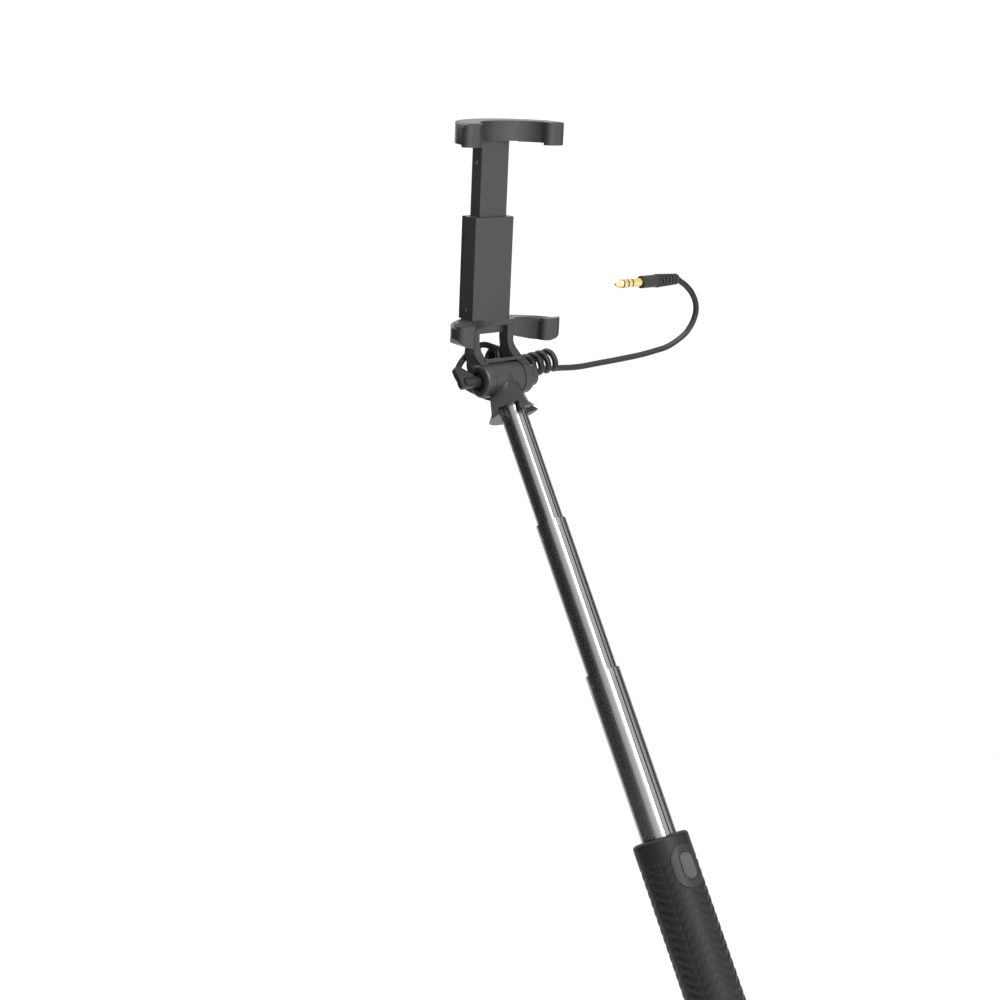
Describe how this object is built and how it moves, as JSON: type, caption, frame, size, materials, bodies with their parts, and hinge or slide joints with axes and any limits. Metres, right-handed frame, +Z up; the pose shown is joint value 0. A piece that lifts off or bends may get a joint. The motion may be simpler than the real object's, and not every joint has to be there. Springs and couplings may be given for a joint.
{
  "type": "selfie stick",
  "caption": "Compact wired selfie stick: telescopic steel pole, rubber handle with a shutter button, tilting spring clamp for a phone and a curly audio lead.",
  "frame": {"origin": "on the pole's axis at the middle of the grip's plain stretch, 40 mm above the foot of the handle", "axes": "+Z runs up the pole towards the clamp; the clamp's screen side and the shutter button face -Y; the hinge axis lies along X, with the wing screw at -X and the plug at +X"},
  "size_m": [0.1327, 0.0765, 0.3995],
  "materials": {
    "grip_rubber": "matt black rubber embossed with a fine pattern of slanting tyre-like bars",
    "black_abs": "fine-grained matt charcoal black moulded plastic",
    "dark_abs": "matt black moulded plastic",
    "button_plastic": "satin dark grey plastic",
    "pcb": "green soldermask on glass-fibre board",
    "switch_metal": "tinned steel shell",
    "tube_steel": "polished gunmetal-toned stainless steel, with fine lengthwise drawing lines",
    "nylon": "natural nylon",
    "lead_jacket": "satin black soft PVC jacket",
    "soft_rubber": "matt black soft rubber",
    "zinc_steel": "bright zinc-plated steel",
    "black_steel": "black-oxide steel",
    "spring_steel": "bright spring wire",
    "plug_gold": "gold-plated brass contact",
    "plug_black": "black insulating ring"
  },
  "bodies": {
    "handle": {"grip_sleeve": "grip_rubber", "handle_core": "dark_abs", "mouth_collar": "dark_abs", "end_cap": "dark_abs", "circuit_board": "pcb", "tact_switch": "switch_metal", "chip_resistors": "plug_black", "button_bezel": "dark_abs", "handle_lead": "lead_jacket"},
    "shutter_button": {"button_cap": "button_plastic", "switch_plunger": "plug_black"},
    "lower_section": {"lower_tube": "tube_steel", "lower_bush": "nylon", "lower_lead": "lead_jacket"},
    "middle_section": {"middle_tube": "tube_steel", "middle_bush": "nylon", "middle_lead": "lead_jacket"},
    "upper_section": {"upper_tube": "tube_steel", "upper_bush": "nylon", "upper_lead": "lead_jacket", "lead_stub": "lead_jacket", "tee_body": "black_abs", "tee_screw": "black_steel", "lead_grommet": "soft_rubber", "friction_washers": "nylon"},
    "clamp": {"fork": "black_abs", "fork_screws": "black_steel", "hinge_nut": "zinc_steel", "lower_jaw": "black_abs", "lower_pad": "soft_rubber", "rail_cover": "black_abs", "cover_screws": "black_steel", "lower_spring_pin": "zinc_steel", "clamp_springs": "spring_steel", "lead_link": "lead_jacket", "lead_curl": "lead_jacket", "lead_run": "lead_jacket", "plug_relief": "dark_abs", "plug_body": "dark_abs", "plug_sleeve": "plug_gold", "plug_insulators": "plug_black", "plug_rings": "plug_gold", "plug_tip": "plug_gold"},
    "wing_screw": {"hinge_bolt": "zinc_steel", "wing_knob": "black_abs"},
    "sliding_jaw": {"upper_jaw": "black_abs", "upper_pad": "soft_rubber", "upper_spring_pin": "zinc_steel"}
  },
  "joints": [
    {"name": "shutter_press", "type": "slide", "parent": "handle", "child": "shutter_button", "axis": [0, 1, 0], "range_m": [0, 0.00035], "stiffness_N_per_m": 3000, "springref_m": -0.0003},
    {"name": "lower_slide", "type": "slide", "parent": "handle", "child": "lower_section", "axis": [0, 0, 1], "range_m": [-0.062, 0], "deforming": ["handle_lead"]},
    {"name": "middle_slide", "type": "slide", "parent": "lower_section", "child": "middle_section", "axis": [0, 0, 1], "range_m": [-0.058, 0], "deforming": ["lower_lead"]},
    {"name": "upper_slide", "type": "slide", "parent": "middle_section", "child": "upper_section", "axis": [0, 0, 1], "range_m": [-0.042, 0], "deforming": ["middle_lead"]},
    {"name": "head_tilt", "type": "hinge", "parent": "upper_section", "child": "clamp", "pos_m": [0, 0, 0.2601], "axis": [1, 0, 0], "range_deg": [-45, 70]},
    {"name": "wing_turn", "type": "hinge", "parent": "clamp", "child": "wing_screw", "pos_m": [0, 0, 0.2601], "axis": [1, 0, 0], "range_deg": [-45, 360]},
    {"name": "jaw_slide", "type": "slide", "parent": "clamp", "child": "sliding_jaw", "axis": [0, -0.5707, 0.8211], "range_m": [-0.0147, 0.0153], "deforming": ["clamp_springs"]}
  ]
}
